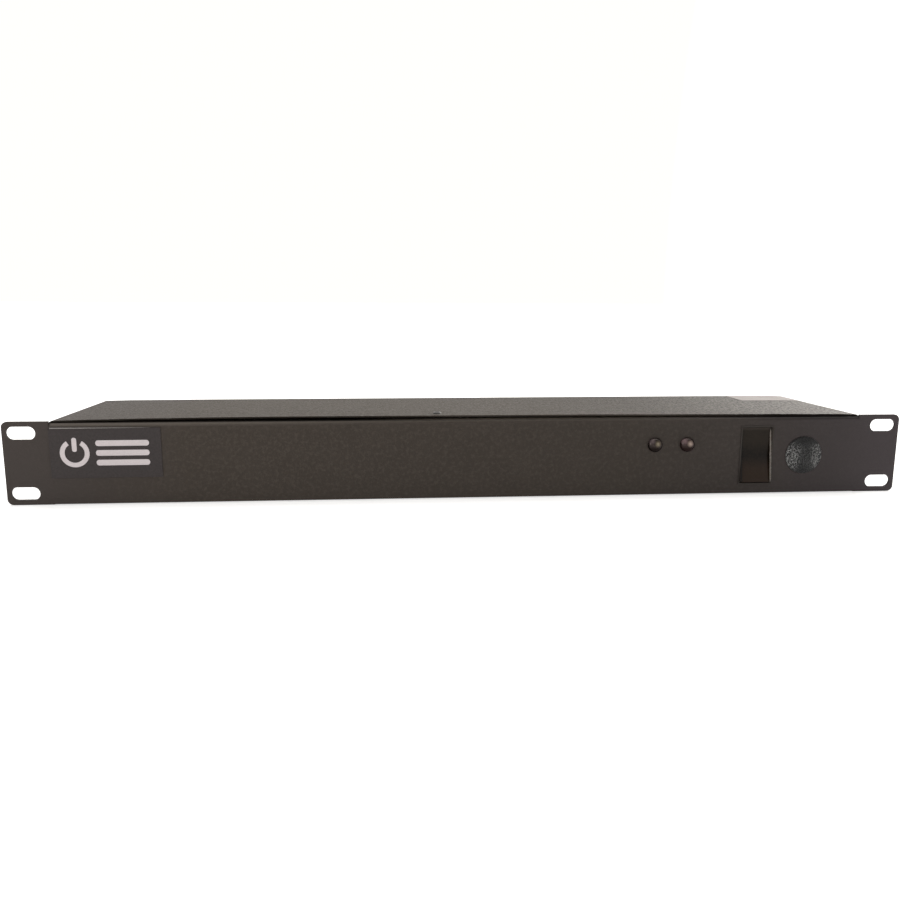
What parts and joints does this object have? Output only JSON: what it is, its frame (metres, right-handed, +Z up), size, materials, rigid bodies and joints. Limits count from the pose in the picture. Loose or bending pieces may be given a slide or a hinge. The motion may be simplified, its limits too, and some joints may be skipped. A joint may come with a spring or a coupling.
{
  "type": "rack power strip",
  "caption": "Rack-mount mains power strip: flat front panel with slotted ears, rocker switch, indicator lamps and a hole plug, rear outlets, inlet and resettable breaker.",
  "frame": {"origin": "middle of the bounding box in X and Y, on the underside in Z", "axes": "+X right seen from the front, +Y to the back, +Z up; the front panel faces -Y"},
  "size_m": [0.4826, 0.101, 0.0457],
  "materials": {
    "powder_coat": "fine textured powder coat, semi-matte charcoal",
    "powder_coat_cover": "fine textured powder coat, semi-matte",
    "badge": "satin printed plate",
    "label": "blank pale label",
    "screw": "blackened steel",
    "switch_black": "moulded, satin",
    "rocker": "moulded, glossy dark brown",
    "lens_amber": "domed lamp lens, unlit",
    "lens_red": "domed lamp lens, unlit",
    "plug": "leather-grained nylon",
    "outlet": "moulded black",
    "breaker": "moulded black",
    "brass": "stamped strip",
    "nickel": "nickel plated",
    "steel": "zinc plated",
    "board": "solder-masked laminate",
    "varistor": "dipped coating",
    "film": "box film capacitor",
    "ferrite": "coated ferrite",
    "insulation_black": "wire insulation",
    "insulation_white": "wire insulation",
    "insulation_green": "wire insulation",
    "button": "moulded reset button",
    "nylon": "moulded lamp body"
  },
  "bodies": {
    "case": {"chassis_tray": "powder_coat", "top_cover": "powder_coat_cover", "badge_plate": "badge", "rating_label": "label", "cover_screw_front": "screw", "cover_screw_left_fore": "screw", "cover_screw_left_back": "screw", "cover_screw_right_fore": "screw", "cover_screw_right_back": "screw", "lamp_left_lens": "lens_amber", "lamp_left_body": "nylon", "lamp_right_lens": "lens_red", "lamp_right_body": "nylon", "lamp_left_leads": "insulation_black", "lamp_right_leads": "insulation_black", "switch_housing": "switch_black", "switch_terminal_feed": "brass", "switch_terminal_load": "brass", "hole_plug": "plug", "outlet_1": "outlet", "outlet_2": "outlet", "outlet_3": "outlet", "outlet_4": "outlet", "outlet_5": "outlet", "outlet_6": "outlet", "outlet_7": "outlet", "outlet_8": "outlet", "bus_bar_line": "brass", "bus_bar_ground": "nickel", "bus_bar_neutral": "brass", "inlet_body": "outlet", "inlet_pin_line": "nickel", "inlet_pin_neutral": "nickel", "inlet_pin_ground": "nickel", "inlet_screw_left": "nickel", "inlet_screw_right": "nickel", "breaker_body": "breaker", "breaker_nut": "nickel", "breaker_spring": "steel", "surge_board": "board", "varistor_1": "varistor", "varistor_2": "varistor", "filter_capacitor": "film", "choke_ring": "ferrite", "board_standoff_left": "nickel", "board_standoff_right": "nickel", "ground_stud": "steel", "ground_nut": "nickel", "wire_inlet_to_breaker": "insulation_black", "wire_breaker_to_switch": "insulation_black", "wire_switch_to_bus": "insulation_black", "wire_neutral_to_bus": "insulation_white", "wire_inlet_to_stud": "insulation_green", "wire_stud_to_bus": "insulation_green"},
    "rocker": {"switch_rocker": "rocker", "switch_plunger": "brass", "switch_spring": "steel"},
    "contact_arm": {"switch_contact_arm": "brass"},
    "reset_button": {"breaker_button": "button"}
  },
  "joints": [
    {"name": "rocker_tilt", "type": "hinge", "parent": "case", "child": "rocker", "pos_m": [0.15975, -0.04275, 0.0212], "axis": [1, 0, 0], "range_deg": [0, 12]},
    {"name": "contact_arm_tilt", "type": "hinge", "parent": "case", "child": "contact_arm", "pos_m": [0.15975, -0.03215, 0.0212], "axis": [1, 0, 0], "range_deg": [-7.5, 0]},
    {"name": "reset_button_travel", "type": "slide", "parent": "case", "child": "reset_button", "axis": [0, 1, 0], "range_m": [0, 0.003], "deforming": ["breaker_spring"]}
  ],
  "couplings": [
    {"joint": "contact_arm_tilt", "follows": "rocker_tilt", "ratio": -0.625}
  ]
}
